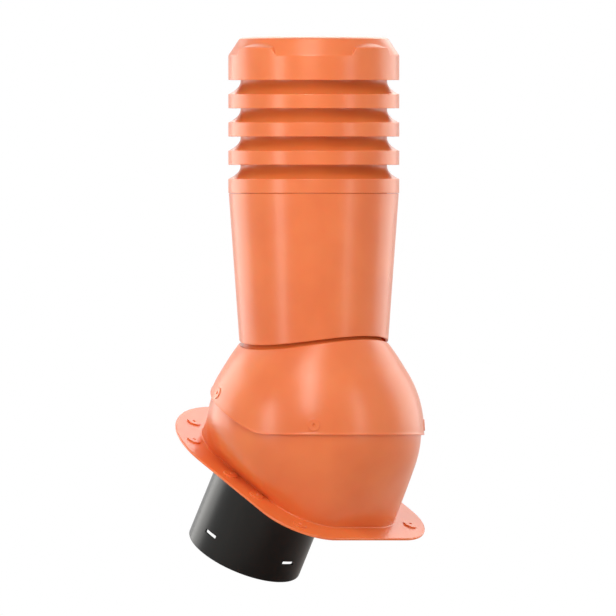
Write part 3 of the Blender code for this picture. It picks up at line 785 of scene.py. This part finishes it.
def duct_rows():
    """Rows of world points around the duct's axis."""
    rim_low = COLLAR_RISE + GAP
    top = rim_low + DUCT_RIM_HEIGHT
    inner = DUCT_RADIUS - DUCT_WALL
    section = rounded([
        (DUCT_RADIUS + DUCT_RIM, top, INNER_ROUND), (DUCT_RADIUS + DUCT_RIM, rim_low),
        (DUCT_RADIUS, rim_low), *[(DUCT_RADIUS, SLOT_RISE - DUCT_DROP + off) for off in SLOT_ROWS],
        (DUCT_RADIUS, -DUCT_DROP, DUCT_CHAMFER), (inner, -DUCT_DROP, INNER_ROUND),
        *[(inner, SLOT_RISE - DUCT_DROP + off) for off in SLOT_ROWS[::-1]], (inner, top, INNER_ROUND),
    ], closed=True)
    rows = []
    for point in section:
        row = []
        for k in range(TURNED_COLUMNS):
            angle = 2 * math.pi * (k + 0.5) / TURNED_COLUMNS
            row.append(on_slope(DUCT_S + point.x * math.cos(angle), point.x * math.sin(angle), point.y))
        rows.append(row)
    return rows


def cut_slots(duct):
    work = bmesh.new()
    half_length, half_width = SLOT_LENGTH / 2, SLOT_WIDTH / 2
    outline = rounded([(half_length, half_width, SLOT_CORNER), (-half_length, half_width, SLOT_CORNER),
                       (-half_length, -half_width, SLOT_CORNER), (half_length, -half_width, SLOT_CORNER)],
                      closed=True)
    for quarter in range(4):
        angle = math.pi / 2 * quarter
        ends = []
        for radius in (DUCT_RADIUS - 3 * DUCT_WALL, DUCT_RADIUS + 2 * DUCT_WALL):
            ring = []
            for p in outline:
                s = DUCT_S + radius * math.cos(angle) - p.x * math.sin(angle)
                t = radius * math.sin(angle) + p.x * math.cos(angle)
                ring.append(work.verts.new(on_slope(s, t, SLOT_RISE - DUCT_DROP + p.y)))
            work.faces.new(ring)
            ends.append(ring)
        for k in range(len(outline)):
            work.faces.new((ends[0][k - 1], ends[0][k], ends[1][k], ends[1][k - 1]))
    cutter = to_object("slots_tool", work)
    cutter.modifiers.clear()
    cut = duct.modifiers.new("slots", "BOOLEAN")
    cut.object = cutter
    cut.solver = "EXACT"
    cut.operation = "DIFFERENCE"
    graph = bpy.context.evaluated_depsgraph_get()
    duct.data = bpy.data.meshes.new_from_object(duct.evaluated_get(graph))
    duct.modifiers.clear()
    bpy.data.objects.remove(cutter)


duct_pipe = to_object("duct_pipe_tube", skin(duct_rows()))
cut_slots(duct_pipe)
duct_pipe.data.set_sharp_from_angle(angle=math.radians(40))
print("duct:", len(duct_pipe.data.polygons), "faces")

# %% [markdown]
# Colours are given as the hex values that a paint card or a screen shows, and one function turns them into
# the linear numbers that the shader works in. One more small function adds a node and links it.

# %% Colours and nodes
def hex_colour(text):
    """Linear colour from an sRGB hex value such as #E07A45."""
    linear = []
    for i in (1, 3, 5):
        value = int(text[i:i + 2], 16) / 255
        linear.append(value / 12.92 if value <= 0.04045 else ((value + 0.055) / 1.055) ** 2.4)
    return (*linear, 1.0)


def add_node(tree, kind, settings=None, inputs=None):
    """Adds a node. An input is a value, or another node's socket to link from."""
    node = tree.nodes.new(kind)
    for name, value in (settings or {}).items():
        setattr(node, name, value)
    for name, value in (inputs or {}).items():
        if isinstance(value, bpy.types.NodeSocket):
            tree.links.new(value, node.inputs[name])
        else:
            node.inputs[name].default_value = value
    return node


def new_material(name):
    material = bpy.data.materials.new(name)
    material.use_nodes = True
    return material, material.node_tree, material.node_tree.nodes["Principled BSDF"]


print("a mid grey in linear light:", [round(value, 3) for value in hex_colour("#808080")])

# %% [markdown]
# The roof parts are polypropylene, coloured through with a terracotta pigment and injection-moulded in a
# steel mould with a fine spark-eroded surface. To the eye that is a soft satin sheen with broad highlights,
# no grain that stands out, and a colour that drifts a very little where the melt flowed. Polypropylene lets
# a little light in, red the furthest, so the shader has some subsurface scattering: edges look soft and the
# shadows between the parts glow redder than the walls.

# %% Moulded terracotta polypropylene
PIGMENT_LIGHT = "#E87B42"
PIGMENT_DEEP = "#E1723B"
FLOW_DRIFT = 60 * MM
ERODED_GRAIN = 2.5 * MM  # the real one is about 0.2 mm, too fine to show
GRAIN_DEPTH = 0.03 * MM


def moulded_polypropylene():
    material, tree, shader = new_material("moulded_terracotta_polypropylene")
    place = add_node(tree, "ShaderNodeTexCoord").outputs["Object"]
    drift = add_node(tree, "ShaderNodeTexNoise", inputs={
        "Vector": place, "Scale": 1 / FLOW_DRIFT, "Detail": 2.0, "Roughness": 0.4})
    colour = add_node(tree, "ShaderNodeValToRGB", inputs={"Fac": drift.outputs["Fac"]})
    low, high = colour.color_ramp.elements
    low.position, low.color = 0.35, hex_colour(PIGMENT_DEEP)
    high.position, high.color = 0.65, hex_colour(PIGMENT_LIGHT)
    grain = add_node(tree, "ShaderNodeTexNoise", inputs={
        "Vector": place, "Scale": 1 / ERODED_GRAIN, "Detail": 3.0, "Roughness": 0.6})
    relief = add_node(tree, "ShaderNodeBump", inputs={
        "Height": grain.outputs["Fac"], "Strength": 0.35, "Distance": GRAIN_DEPTH})
    sheen = add_node(tree, "ShaderNodeMapRange", inputs={
        "Value": grain.outputs["Fac"], "To Min": 0.26, "To Max": 0.34})
    tree.links.new(colour.outputs["Color"], shader.inputs["Base Color"])
    tree.links.new(sheen.outputs["Result"], shader.inputs["Roughness"])
    tree.links.new(relief.outputs["Normal"], shader.inputs["Normal"])
    shader.inputs["IOR"].default_value = 1.5
    shader.inputs["Subsurface Weight"].default_value = 0.5
    shader.inputs["Subsurface Radius"].default_value = (1.0, 0.25, 0.1)
    shader.inputs["Subsurface Scale"].default_value = 3 * MM
    return material


terracotta = moulded_polypropylene()
print("material:", terracotta.name)

# %% [markdown]
# The duct is black PVC pipe, extruded through a polished die. It is smoother than the moulded parts, and
# the die leaves very faint lines along it, which streak the highlights lengthwise.

# %% Extruded black PVC
DUCT_BLACK = "#0E0E0E"
DIE_LINE = 2.5 * MM  # the real lines are under 0.5 mm apart
DIE_LINE_RUN = 120 * MM


def extruded_pvc():
    material, tree, shader = new_material("extruded_black_pvc")
    place = add_node(tree, "ShaderNodeTexCoord").outputs["Object"]
    along = add_node(tree, "ShaderNodeMapping", {"vector_type": "POINT"}, {
        "Vector": place, "Rotation": (0, -PITCH, 0)})
    squeezed = add_node(tree, "ShaderNodeMapping", {"vector_type": "POINT"}, {
        "Vector": along.outputs["Vector"], "Scale": (1 / DIE_LINE, 1 / DIE_LINE, 1 / DIE_LINE_RUN)})
    lines = add_node(tree, "ShaderNodeTexNoise", inputs={
        "Vector": squeezed.outputs["Vector"], "Scale": 1.0, "Detail": 2.0})
    relief = add_node(tree, "ShaderNodeBump", inputs={
        "Height": lines.outputs["Fac"], "Strength": 0.12, "Distance": 0.02 * MM})
    sheen = add_node(tree, "ShaderNodeMapRange", inputs={
        "Value": lines.outputs["Fac"], "To Min": 0.26, "To Max": 0.36})
    tree.links.new(sheen.outputs["Result"], shader.inputs["Roughness"])
    tree.links.new(relief.outputs["Normal"], shader.inputs["Normal"])
    shader.inputs["Base Color"].default_value = hex_colour(DUCT_BLACK)
    shader.inputs["IOR"].default_value = 1.4
    return material


black_pvc = extruded_pvc()
print("material:", black_pvc.name)

# %% [markdown]
# Each new piece stands for its node and rides on the one body of the part, and the imported node is hidden.

# %% Pieces in the frame
terracotta_pieces = {"roof_base": roof_base, "ball_hood": ball_hood, "outer_sleeve": outer_sleeve,
                     "cap_cover": cap_cover}
for i, ring in enumerate(louvre_rings):
    terracotta_pieces[f"louvre_ring_{i + 1}"] = ring


def place_in_frame(piece, node, material):
    piece.data.materials.clear()
    piece.data.materials.append(material)
    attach(piece, "root")
    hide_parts(node)


for node, piece in terracotta_pieces.items():
    place_in_frame(piece, node, terracotta)
place_in_frame(duct_pipe, "duct_pipe", black_pvc)
print("pieces placed:", len(terracotta_pieces) + 1)

# %% [markdown]
# The floor is a plain pale sheet just under the duct's end. It is round and ends where the lights stand, so
# no dim part of it shows behind the chimney. It isn't part of the object.

# %% Floor
FLOOR_RADIUS = 1.7
FLOOR_PALE = "#E6E6E4"
floor_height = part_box("duct_pipe")[0][2] - 1 * MM


def pale_floor():
    work = bmesh.new()
    bmesh.ops.create_circle(work, cap_ends=True, segments=128, radius=FLOOR_RADIUS)
    bmesh.ops.translate(work, verts=work.verts, vec=(0, 0, floor_height))
    mesh = bpy.data.meshes.new("studio_floor")
    work.to_mesh(mesh)
    work.free()
    floor = bpy.data.objects.new("studio_floor", mesh)
    bpy.context.scene.collection.objects.link(floor)
    material, _, shader = new_material("pale_matt_sheet")
    shader.inputs["Base Color"].default_value = hex_colour(FLOOR_PALE)
    shader.inputs["Roughness"].default_value = 0.9
    mesh.materials.append(material)
    return floor


pale_floor()
print("floor at", round(floor_height / MM, 1), "mm")

# %% [markdown]
# The photograph is a level view without perspective, from 45 degrees beside the roof's fall. The camera's
# frame is 616 picture points wide, and each of them is 1.27 mm on the object.

# %% Camera
CAMERA_TARGET = Vector((-117.3 * MM, 16.07 * MM, 288.5 * MM))
PICTURE_WIDTH = 616 * 1.27 * MM
CAMERA_AZIMUTH = math.radians(-45)
CAMERA_DISTANCE = 2.5
towards_camera = Vector((math.cos(CAMERA_AZIMUTH), math.sin(CAMERA_AZIMUTH), 0))
camera_data = bpy.data.cameras.new("photo_camera")
camera_data.type = "ORTHO"
camera_data.ortho_scale = PICTURE_WIDTH
camera = bpy.data.objects.new("photo_camera", camera_data)
camera.location = CAMERA_TARGET + towards_camera * CAMERA_DISTANCE
camera.rotation_euler = towards_camera.to_track_quat("Z", "Y").to_euler()
bpy.context.scene.collection.objects.link(camera)
bpy.context.scene.camera = camera
print("picture width:", round(PICTURE_WIDTH, 4), "m")

# %% [markdown]
# Two tall narrow soft boxes stand left and right of the camera, so each upright wall shows two soft upright
# highlights. Two more stand high in front: they give the main light and the broad patch on the hood. Large
# ones behind, left, right and above, draw the bright rims and the light on the cap's lobes. The surround is
# white, but it lights less than it shows, so the pale background stays clean and the plastic keeps its
# colour. Coloured plastic looks chalky under one big even light, so most of the light comes from the boxes.

# %% Light
LIGHT_DISTANCE = 1.8
WARM_WHITE = (1.0, 0.985, 0.94)
SURROUND_LIGHTING = 0.2


def soft_box(name, azimuth, elevation, size, watts):
    """An area light at an angle from the camera's side, aimed at the chimney's middle."""
    turn = CAMERA_AZIMUTH + math.radians(azimuth)
    level = math.cos(math.radians(elevation))
    outward = Vector((level * math.cos(turn), level * math.sin(turn), math.sin(math.radians(elevation))))
    light = bpy.data.lights.new(name, "AREA")
    light.shape = "RECTANGLE"
    light.size, light.size_y = size
    light.energy = watts
    light.color = WARM_WHITE
    lamp = bpy.data.objects.new(name, light)
    lamp.location = CAMERA_TARGET + outward * LIGHT_DISTANCE
    lamp.rotation_euler = outward.to_track_quat("Z", "Y").to_euler()
    bpy.context.scene.collection.objects.link(lamp)


soft_box("left_box", -46, 6, (0.34, 1.0), 7)
soft_box("right_box", 48, 12, (0.26, 1.4), 5)
soft_box("front_top_box", -5, 36, (0.4, 1.5), 14.5)
soft_box("high_box", -10, 62, (0.6, 0.9), 5)
soft_box("left_rim_box", -122, 14, (1.4, 1.3), 16)
soft_box("right_rim_box", 122, 14, (1.4, 1.3), 13)
soft_box("back_box", 172, 34, (1.4, 0.9), 8)


def white_surround():
    """World light: white where it is seen or mirrored, dimmer where it only lights."""
    world = bpy.data.worlds.new("white_surround")
    bpy.context.scene.world = world
    world.use_nodes = True
    tree = world.node_tree
    lighting = tree.nodes["Background"]
    lighting.inputs["Color"].default_value = (1, 1, 1, 1)
    lighting.inputs["Strength"].default_value = SURROUND_LIGHTING
    backdrop = add_node(tree, "ShaderNodeBackground", inputs={"Color": (1, 1, 1, 1), "Strength": 1.0})
    ray = add_node(tree, "ShaderNodeLightPath")
    mix = add_node(tree, "ShaderNodeMixShader", inputs={0: ray.outputs["Is Diffuse Ray"]})
    tree.links.new(backdrop.outputs["Background"], mix.inputs[1])
    tree.links.new(lighting.outputs["Background"], mix.inputs[2])
    tree.links.new(mix.outputs["Shader"], tree.nodes["World Output"].inputs["Surface"])


white_surround()
bpy.context.scene.view_settings.view_transform = "Standard"
